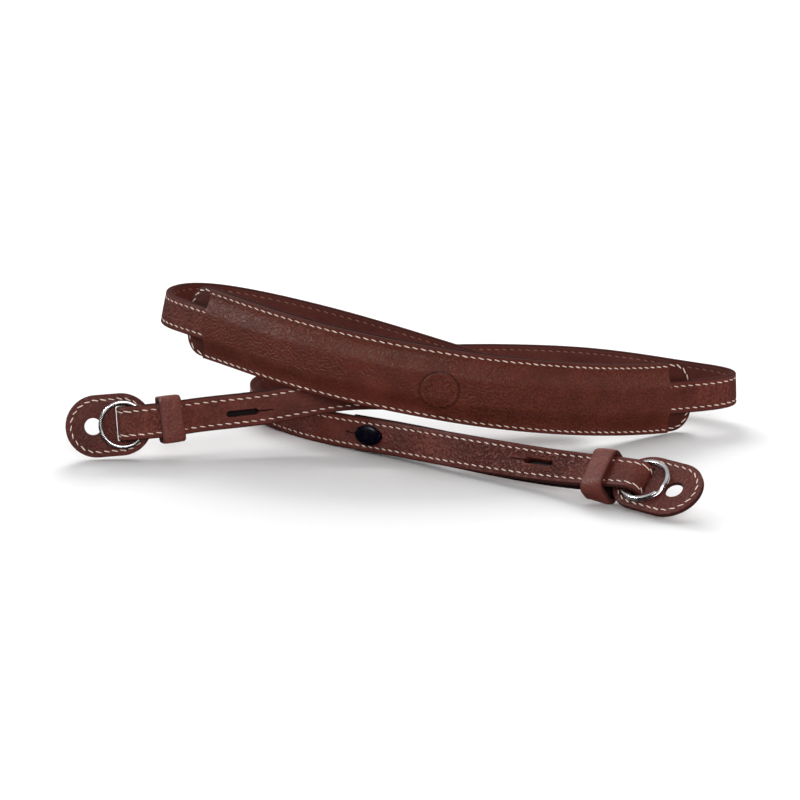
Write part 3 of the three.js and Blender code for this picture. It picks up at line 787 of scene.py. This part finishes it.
face_high = np.column_stack([over_across[::-1], face_over(over_across[::-1])])
mirror = np.array([-1, 1])
face_section = np.vstack([
    face_low,
    face_right,
    face_right_top,
    face_high,
    face_right_top[::-1] * mirror,
    face_right[::-1] * mirror,
])
high_from = len(face_low) + len(face_right) + len(face_right_top)
high_to = high_from + len(face_high)
pad_face_sections = np.repeat(face_section[None], len(pad_distances), axis=0)
stamp_across = pad_face_sections[:, high_from:high_to, 0] - mark_across
stamp = pressed_flower(pad_distances[:, None] - mark_at, stamp_across)
pad_face_sections[:, high_from:high_to, 1] += stamp
pad_face_marks = leather_marks(pad_face_sections, pad_half, face_edge)
pad_face_marks["back"] = np.zeros(pad_face_sections.shape[:2])
pad_face_marks["back"][:, :len(face_low)] = 1
pad_face_marks["pressed"] = np.zeros(pad_face_sections.shape[:2])
pad_face_marks["pressed"][:, high_from:high_to] = smooth(0.00002, -0.00009, stamp)

# At each end the sides of the face are stretched a little farther than its middle, which arches.
side_stretch = 0.0013
stretched_over = 0.012
face_middle_at = (face_from + face_to) / 2
from_middle = pad_distances - face_middle_at
toward_end = np.clip((np.abs(from_middle) - (face_to - face_middle_at)) / stretched_over + 1, 0, 1)
end_slide = side_stretch * np.sign(from_middle) * toward_end
side_share = smooth(tunnel_half - 0.002, pad_half, np.abs(pad_face_sections[..., 0]))
pad_face_slides = end_slide[:, None] * side_share
pad_face = lofted(
    "pad_face_leather", places_at(pad_distances), pad_face_sections, pad_face_marks, pad_face_slides,
)
pad_leather = grained_leather(
    "pad_leather", (0.164, 0.034, 0.019, 1), (0.092, 0.018, 0.010, 1), (0.110, 0.022, 0.014, 1),
    pebble=0.0008, relief=0.00028, gloss=0.36, shine=0.2,
)
pad_face.data.materials.append(pad_leather)
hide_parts("pad_face")
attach(pad_face, "root")


# The pad's backing: a flat strip of darker leather with rounded ends, which reaches beyond the face at both
# ends. The strap runs between it and the face, and the two rows of stitches join them.
backing_corner = 0.008
backing_low = backing_top - pad_thickness
backing_edge = 0.0005
corner_turn = np.linspace(0, np.pi / 2, 14)
corner_steps = backing_corner * (1 - np.cos(corner_turn))
back_distances = np.concatenate([
    pad_from + corner_steps,
    np.linspace(pad_from + backing_corner, pad_from + pad_length - backing_corner, 170)[1:-1],
    pad_from + pad_length - corner_steps[::-1],
])
from_pad_end = np.minimum(back_distances - pad_from, pad_from + pad_length - back_distances)
inward = np.minimum(from_pad_end, backing_corner)
corner_cut = backing_corner - np.sqrt(np.maximum(backing_corner ** 2 - (backing_corner - inward) ** 2, 0))
pad_back_sections = [
    leather_section(pad_half - cut, backing_low, backing_top, backing_edge) for cut in corner_cut
]
pad_back_marks = leather_marks(pad_back_sections, pad_half, backing_edge)
cut_round_corners = np.array([
    smooth(-0.0004, -0.0001, np.abs(section[:, 0]) - section[:, 0].max()) for section in pad_back_sections
])
pad_back_marks["edge"] = np.maximum(pad_back_marks["edge"], cut_round_corners)
pad_back = lofted("pad_backing", places_at(back_distances), pad_back_sections, pad_back_marks)
lining_leather = grained_leather(
    "lining_leather", (0.110, 0.023, 0.014, 1), (0.055, 0.012, 0.008, 1), (0.075, 0.015, 0.011, 1),
    pebble=0.0007, relief=0.00006, gloss=0.5,
)
pad_back.data.materials.append(lining_leather)
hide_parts("pad_back")
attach(pad_back, "root")


# The pad's stitches: one row along each side of the face, which goes on round the backing's ends until it
# meets the strap. Behind, the same seam shows as a closed loop of brown thread.
seam_radius = backing_corner - (pad_half - pad_row)
seam_across = pad_row - seam_radius
seam_ends_across = 0.0066
pad_pitch = 0.0029
pad_stitch = 0.0027
pad_back_stitch = 0.0022
proud = 0.00002


def seam_round_corner(last_turn):
    """How far in from the pad's end, and how far across, the seam lies as it rounds a corner."""
    turn = np.linspace(0, last_turn, 40)
    return backing_corner - seam_radius * np.sin(turn), seam_across + seam_radius * np.cos(turn)


front_in, front_across = seam_round_corner(math.acos((seam_ends_across - seam_across) / seam_radius))
front_in = np.concatenate([[backing_beyond_face - 0.0012], front_in])
front_across = np.concatenate([[pad_row], front_across])
face_side_range = np.linspace(face_from + 0.0006, face_to - 0.0006, 240)
pad_rows = []
for side in (-1, 1):
    along_side = moved(places_at(face_side_range), across=side * pad_row, out=face_over(pad_row) + proud)
    pad_rows.append((along_side[:, 0], along_side[:, 3]))
    for distances in (pad_from + front_in, pad_from + pad_length - front_in):
        round_end = moved(places_at(distances), across=side * front_across, out=backing_top + proud)
        pad_rows.append((round_end[:, 0], round_end[:, 3]))
pad_thread = sew("pad_stitches", pad_rows, pad_pitch, pad_stitch, thin_thread, cream_thread)

quarter_back, quarter_across = seam_round_corner(np.pi / 2)
half_loop_back = np.concatenate([quarter_back, quarter_back[::-1]])
half_loop_across = np.concatenate([quarter_across, -quarter_across[::-1]])
long_side = np.linspace(pad_from + backing_corner, pad_from + pad_length - backing_corner, 240)[1:-1]
loop_distances = np.concatenate([
    pad_from + half_loop_back[::-1],
    long_side,
    pad_from + pad_length - half_loop_back,
    long_side[::-1],
])
loop_across = np.concatenate([
    half_loop_across[::-1],
    np.full(len(long_side), pad_row),
    half_loop_across,
    np.full(len(long_side), -pad_row),
])
behind = moved(places_at(loop_distances), across=loop_across, out=backing_low - proud)
behind_row = (behind[:, 0], -behind[:, 3])
pad_back_thread = sew(
    "pad_back_stitches", [behind_row], pad_pitch, pad_back_stitch, thin_thread, brown_thread,
)


# The keepers: closed bands of leather, one near each end, which hold the strap and its tail together. Each is
# deeper towards the fold, where the layers part.
keeper_at = {"left": 0.0133, "right": 0.0106}
keeper_length = 0.0078
keeper_wall = 0.0015
keeper_room = 0.0005
keeper_room_across = 0.0007
keeper_sag = {"left": 0.0, "right": 0.0011}
keeper_slack = 0.0002
keeper_inner_corner = 0.0005
keeper_corner = {"left": 0.0024, "right": 0.0035}


def rounded_loop(half, low, high, radius, per_corner=8, per_side=10):
    """The outline of a rounded rectangle, counter-clockwise, with as many points whatever its size."""
    centres = (
        (half - radius, low + radius, -90),
        (half - radius, high - radius, 0),
        (radius - half, high - radius, 90),
        (radius - half, low + radius, 180),
    )
    loop = []
    for across, out, first in centres:
        angle = np.radians(first + np.linspace(0, 90, per_corner))
        loop.append(np.column_stack([across + radius * np.cos(angle), out + radius * np.sin(angle)]))
    sides = []
    for corner, following in zip(loop, loop[1:] + loop[:1]):
        between = np.linspace(0, 1, per_side + 2)[1:-1, None]
        sides += [corner, corner[-1] * (1 - between) + following[0] * between]
    return np.vstack(sides)


def facing_out(mesh, weld=0.0):
    """Turns all faces outward, once points closer than the weld are merged."""
    made = bmesh.new()
    made.from_mesh(mesh)
    if weld:
        bmesh.ops.remove_doubles(made, verts=made.verts, dist=weld)
    bmesh.ops.recalc_face_normals(made, faces=made.faces)
    made.to_mesh(mesh)
    made.free()


# Painted sheen: the keepers' leather is lighter and paler than the strap's.
keeper_leather_painted_sheen = grained_leather(
    "keeper_leather_painted_sheen", (0.215, 0.056, 0.040, 1), (0.110, 0.024, 0.018, 1), (0.125, 0.027, 0.021, 1),
    pebble=0.0008, relief=0.00016, gloss=0.42, shine=0.26,
)

# The band cut through its wall, from -1 to 1 along it: how far out, in walls, from the inside at 0.
keeper_rim = ((0.99, 0.10), (1.0, 0.3), (1.0, 0.6), (0.985, 0.82), (0.95, 0.94))
keeper_bulge = 0.10
keeper_profile = [(u, 0.0) for u in np.linspace(-0.96, 0.96, 9)]
keeper_profile += keeper_rim
keeper_profile += [(u, 1.0 + keeper_bulge * (1 - u * u)) for u in np.linspace(0.88, -0.88, 13)]
keeper_profile += [(-u, wall) for u, wall in keeper_rim[::-1]]


def keeper(end):
    points, edged, rimmed, lined = [], [], [], []
    for u, wall in keeper_profile:
        distance = keeper_at[end] + u * keeper_length / 2
        depth = max(tail_behind_at(distance), tail_behind_strap + keeper_slack)
        offset = wall * keeper_wall
        loop = rounded_loop(
            strap_half + keeper_room_across + offset,
            -depth - tail_thickness / 2 - keeper_room - offset,
            strap_thickness / 2 + keeper_room + offset,
            keeper_inner_corner + (keeper_corner[end] - keeper_inner_corner) * min(wall, 1.0),
        )
        loop[:, 0] -= keeper_sag[end] * (u + 1) / 2 * (loop[:, 0] < 0)
        place = places_at(from_end(end, distance))[0]
        points.append(place[0] + loop[:, :1] * place[2] + loop[:, 1:] * place[3])
        edged.append(np.full(len(loop), abs(u) > 0.97))
        rimmed.append(np.full(len(loop), abs(u) > 0.80))
        lined.append(np.full(len(loop), wall < 0.2))
    count = len(points[0])
    rings = len(points)
    faces = []
    for j in range(rings):
        for i in range(count):
            a, b = j * count + i, j * count + (i + 1) % count
            c, d = (j + 1) % rings * count + (i + 1) % count, (j + 1) % rings * count + i
            faces.append((a, b, c, d))
    mesh = bpy.data.meshes.new(f"{end}_keeper_band")
    mesh.from_pydata(np.vstack(points).tolist(), [], faces)
    for mark, values in (("edge", edged), ("rim", rimmed), ("back", lined)):
        mark_points(mesh, mark, values)
    facing_out(mesh)
    shaded(mesh, 60)
    mesh.materials.append(keeper_leather_painted_sheen)
    band = placed(f"{end}_keeper_band", mesh)
    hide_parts(f"{end}_keeper")
    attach(band, "root")


keeper("left")
keeper("right")


# The split rings: flat steel wire wound in nearly two turns, lying between the strap and the flap, with the
# strap's fold through them.
ring_outside = 0.017
wire_radial = 0.0013
wire_axial = 0.0009
wire_corner = 0.0004
ring_pitch = 0.00105
ring_turns = 1.9
ring_step_from = 0.9
ring_from_fold = {"left": -0.0036, "right": -0.0052}
ring_hangs = -0.0004


def steel_wire():
    """Polished steel, a little dull in places, with fine marks from drawing the wire."""
    material, shader, where = bare_material("ring_steel")
    haze = where.noise(where, 240.0, 3.0, 0.6)
    lines = where.noise(where, 1900.0, 2.0)
    colour = haze.between(0.35, 0.65).tint((0.42, 0.41, 0.42, 1), (0.60, 0.585, 0.60, 1))
    shader.inputs["Metallic"].default_value = 1.0
    into(shader, Base_Color=colour, Roughness=0.1 + 0.14 * haze, Normal=lines.bump(0.00002, 0.25))
    return material


ring_steel = steel_wire()
wire_section = rounded_loop(wire_axial / 2, -wire_radial / 2, wire_radial / 2, wire_corner, 6, 3)
turns = np.linspace(0, ring_turns, 150)
rise = ring_pitch * (smooth(ring_step_from, 1.0, turns) - 0.5)
wire_sections = np.repeat(wire_section[None], len(turns), axis=0)
for end, away in (("left", 1), ("right", -1)):
    fold = places_at(from_end(end, 0))
    centre, along, across, out = moved(fold, away * ring_from_fold[end], ring_hangs, -ring_behind)[0]
    radial = np.cos(turns * 2 * np.pi)[:, None] * along + np.sin(turns * 2 * np.pi)[:, None] * across
    middle = centre + radial * (ring_outside - wire_radial) / 2 + rise[:, None] * out
    axes = np.repeat(out[None], len(turns), axis=0)
    wire_places = np.stack([middle, np.cross(out, radial), axes, radial], axis=1)
    ring = lofted(f"{end}_split_ring", wire_places, wire_sections, {})
    facing_out(ring.data)
    ring.data.materials.append(ring_steel)
    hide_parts(f"{end}_ring")
    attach(ring, "root")


# The flaps: two-layer leather tabs behind the rings, with a round hole outside the ring and a slot for the
# strap's fold. A row of cream stitches runs round them just inside the edge.
flap_length = {"left": 0.0304, "right": 0.0322}
flap_width = 0.022
flap_edge = 0.0004
flap_from_fold = {"left": -0.0084, "right": -0.0095}
flap_hangs = {"left": -0.0003, "right": 0.0003}
flap_turn = {"left": 0.0, "right": math.radians(8)}
flap_hole = 0.006
flap_hole_at = {"left": -0.0056, "right": -0.0065}
flap_row_in = 0.0019
flap_pitch = 0.0028
flap_stitch = 0.0026
slot_corner = 0.0004
sunk_seam = 0.00002


def stadium(half, straight, steps=32):
    """The outline of a strip with two round ends."""
    right = np.radians(np.linspace(-90, 90, steps))
    left = np.radians(np.linspace(90, 270, steps))
    return np.vstack([
        np.column_stack([straight + half * np.cos(right), half * np.sin(right)]),
        np.column_stack([-straight + half * np.cos(left), half * np.sin(left)]),
    ])


flap_leather = grained_leather(
    "flap_leather", (0.150, 0.034, 0.025, 1), (0.072, 0.015, 0.011, 1), (0.090, 0.019, 0.015, 1),
    pebble=0.0009, relief=0.00022, gloss=0.44, shine=0.18,
)


def flap(end, away):
    half = flap_width / 2
    straight = flap_length[end] / 2 - half
    from_fold_by = flap_from_fold[end]
    slot_outer = -(fold_reach + tail_thickness / 2 + clearance) - from_fold_by
    fold_middle = tail_behind_flap / 2
    leaves_flap = (flap_behind + flap_thickness / 2 - fold_middle) / (fold_middle - tail_thickness / 2)
    inside_fold = (fold_reach - tail_thickness / 2) * math.sqrt(1 - leaves_flap ** 2)
    slot_inner = -inside_fold + clearance - from_fold_by
    slot_half = strap_half + 0.0001
    slot_middle = away * (slot_outer + slot_inner) / 2
    slot_width = slot_inner - slot_outer
    round_turn = np.radians(np.linspace(0, 360, 40, endpoint=False))
    hole = np.column_stack([
        away * flap_hole_at[end] + flap_hole / 2 * np.cos(round_turn),
        flap_hole / 2 * np.sin(round_turn),
    ])
    slot = rounded_loop(slot_width / 2 - 0.0001, -slot_half, slot_half, slot_corner, 5, 3)
    cos, sin = math.cos(flap_turn[end]), math.sin(flap_turn[end])

    def turned(points):
        x, y = points[:, 0] - slot_middle, points[:, 1]
        return np.column_stack([slot_middle + x * cos + y * sin, y * cos - x * sin])

    curve = bpy.data.curves.new(f"{end}_flap_leather", "CURVE")
    curve.dimensions = "2D"
    curve.fill_mode = "BOTH"
    curve.extrude = flap_thickness / 2 - flap_edge
    curve.bevel_depth = flap_edge
    curve.bevel_resolution = 3
    curve.offset = -flap_edge
    slot_in_place = slot + np.array([slot_middle, -flap_hangs[end]])
    for outline in (turned(stadium(half, straight)), turned(hole), slot_in_place):
        spline = curve.splines.new("POLY")
        spline.points.add(len(outline) - 1)
        for point, (x, y) in zip(spline.points, outline):
            point.co = (x, y, 0, 1)
        spline.use_cyclic_u = True
    flat = placed("flap_outline", curve)
    mesh = plain_mesh(flat)
    bpy.data.objects.remove(flat)
    bpy.data.curves.remove(curve)
    heights = np.array([vertex.co.z for vertex in mesh.vertices])
    mark_points(mesh, "edge", smooth(-0.00035, -0.00012, flap_thickness / 2 - flap_edge - np.abs(heights)))
    fold = places_at(from_end(end, 0))
    place = moved(fold, away * from_fold_by, flap_hangs[end], -flap_behind)[0]
    mesh.transform(world_of(place))
    facing_out(mesh, weld=1e-6)
    shaded(mesh, 40)
    mesh.materials.clear()
    mesh.materials.append(flap_leather)
    leather = placed(f"{end}_flap_leather", mesh)
    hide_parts(f"{end}_flap")
    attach(leather, "root")
    row = turned(stadium(half - flap_row_in, straight, 60))
    row = np.vstack([row, row[:1]])
    beside = np.repeat(place[None], len(row), axis=0)
    rows = []
    for side in (-1, 1):
        flat_row = moved(beside, row[:, 0], row[:, 1], side * (flap_thickness / 2 - sunk_seam))
        rows.append((flat_row[:, 0], side * flat_row[:, 3]))
    sew(f"{end}_flap_stitches", rows, flap_pitch, flap_stitch, thin_thread, cream_thread)


flap("left", 1)
flap("right", -1)


# The studs: oval brass buttons, lacquered nearly black, each riveted through the tail, with the head pushed
# through a buttonhole in the strap's front layer.
stud_length = 0.0118
stud_width = 0.0073
stud_rise = 0.0016
stud_head_edge = 0.0003
stud_base = 0.0065
stud_base_thickness = 0.0008


def lacquer():
    """Black lacquer over metal, rubbed a little in places."""
    material, shader, where = bare_material("stud_metal")
    rubbed = where.noise(where, 420.0, 4.0, 0.6).between(0.42, 0.70)
    colour = rubbed.tint((0.0025, 0.0018, 0.006, 1), (0.005, 0.004, 0.010, 1))
    shader.inputs["Specular IOR Level"].default_value = 0.05
    into(shader, Base_Color=colour, Roughness=0.25 + 0.14 * rubbed)
    return material


stud_lacquer = lacquer()


def lathed(name, profile, steps=64):
    """A closed turned shape from (radius, height) pairs, starting and ending on the axis."""
    made = bmesh.new()
    angles = np.arange(steps) * 2 * np.pi / steps
    directions = [(math.cos(a), math.sin(a)) for a in angles]
    rings = []
    for radius, height in profile:
        around = directions if radius else directions[:1]
        rings.append([made.verts.new((radius * x, radius * y, height)) for x, y in around])
    for lower, upper in zip(rings, rings[1:]):
        for i in range(steps):
            j = (i + 1) % steps
            corners = [lower[0]] if len(lower) == 1 else [lower[i], lower[j]]
            corners += [upper[0]] if len(upper) == 1 else [upper[j], upper[i]]
            made.faces.new(corners)
    mesh = bpy.data.meshes.new(name)
    made.to_mesh(mesh)
    made.free()
    return mesh


head_turn = np.radians(np.linspace(0, 90, 14))
half_length = stud_length / 2
seat = strap_thickness / 2 + clearance
stud_back = -tail_behind_strap - tail_thickness / 2 - clearance
crown_from = seat + stud_head_edge
head_profile = [
    (0, seat),
    (half_length - stud_head_edge, seat),
    (half_length - 0.0001, seat + 0.0001),
    (half_length, crown_from),
]
head_profile += [
    (half_length * math.cos(t) ** 0.8, crown_from + (stud_rise - stud_head_edge) * math.sin(t))
    for t in head_turn[1:-1]
]
head_profile.append((0, seat + stud_rise))
neck_low = stud_back - 0.0002
neck_high = seat + 0.0004
neck_profile = [(0, neck_low), (stud_neck / 2, neck_low), (stud_neck / 2, neck_high), (0, neck_high)]
base_profile = [
    (0, stud_back - stud_base_thickness),
    (stud_base / 2 - 0.0006, stud_back - stud_base_thickness),
    (stud_base / 2 - 0.0002, stud_back - stud_base_thickness * 0.7),
    (stud_base / 2, stud_back - stud_base_thickness * 0.3),
    (stud_base / 2, stud_back),
    (0, stud_back),
]
for end in ("left", "right"):
    head = lathed("head", head_profile)
    head.transform(Matrix.Diagonal((1, stud_width / stud_length, 1, 1)))
    neck = lathed("neck", neck_profile)
    base = lathed("base", base_profile)
    stud_mesh = joined(f"{end}_oval_stud", (head, neck, base))
    facing_out(stud_mesh)
    stud_mesh.transform(world_of(places_at(from_end(end, stud_at))[0]))
    shaded(stud_mesh, 40)
    stud_mesh.materials.append(stud_lacquer)
    stud = placed(f"{end}_oval_stud", stud_mesh)
    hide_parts(f"{end}_stud")
    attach(stud, "root")

# The studio: a plain white table, lit from behind and above by a ceiling panel and a key box, with a small
# box at the left for gloss and one in front. Polished metal sees bright walls, but for a dark one in front.
table_mesh = bpy.data.meshes.new("studio_table")
table_mesh.from_pydata([(-6, -6, 0), (6, -6, 0), (6, 6, 0), (-6, 6, 0)], [], [(0, 1, 2, 3)])
table = placed("studio_table", table_mesh)
table_paint, table_shader, table_where = bare_material("table_paint")
table_tone = table_where.noise(table_where, 3.0).tint((0.90, 0.90, 0.90, 1), (0.93, 0.93, 0.93, 1))
table_shader.inputs["Roughness"].default_value = 0.9
table_shader.inputs["Specular IOR Level"].default_value = 0.1
into(table_shader, Base_Color=table_tone)
table_mesh.materials.append(table_paint)
table.visible_glossy = False

studio = bpy.data.worlds.new("studio")
studio.use_nodes = True
walls = studio.node_tree.nodes["Background"]
walls.inputs["Color"].default_value = (1.0, 1.0, 1.0, 1)
direction = Shade(studio.node_tree, studio.node_tree.nodes.new("ShaderNodeTexCoord").outputs["Generated"])
frontward, upward = (
    direction.node("ShaderNodeVectorMath", {"operation": "DOT_PRODUCT"}, {0: direction, 1: axis}, 1)
    for axis in ((0, -1, 0), (0, 0, 1))
)
mirrored = direction.node("ShaderNodeLightPath", {}, {}, 3)
wall_light = 0.8 * upward.between(-0.1, 0.2) * (1 - frontward.between(0.2, 0.7))
into(walls, Strength=0.12 + mirrored * (wall_light - 0.1))
bpy.context.scene.world = studio


def soft_box(name, place, target, width, height, watts):
    light = bpy.data.lights.new(name, "AREA")
    light.shape = "RECTANGLE"
    light.size = width
    light.size_y = height
    light.energy = watts
    lamp = placed(name, light)
    lamp.location = place
    lamp.rotation_euler = (Vector(target) - Vector(place)).to_track_quat("-Z", "Y").to_euler()
    return lamp


ceiling = soft_box("ceiling", (0.0, 3.9, 1.6), (0.0, 3.9, 0), 12.0, 8.0, 362.0)
ceiling.visible_glossy = False
key_box = soft_box("key", (-0.15, 1.2, 0.85), (0, 0, 0), 0.7, 0.5, 13.0)
key_box.visible_glossy = False
left_box = soft_box("left", (-0.9, -0.25, 0.8), (-0.05, 0, 0.04), 0.28, 0.28, 15.0)
left_box.visible_diffuse = False
soft_box("front", (0.2, -1.3, 0.6), (0, 0, 0.03), 0.5, 0.5, 9.0)

lens = bpy.data.cameras.new("lens")
lens.lens = 102.24
lens.sensor_width = 36
camera = placed("camera", lens)
camera.location = (-0.00399, -0.78509, 0.21615)
camera.rotation_euler = (math.radians(75.8), 0, 0)
bpy.context.scene.camera = camera
bpy.context.scene.view_settings.view_transform = "Standard"
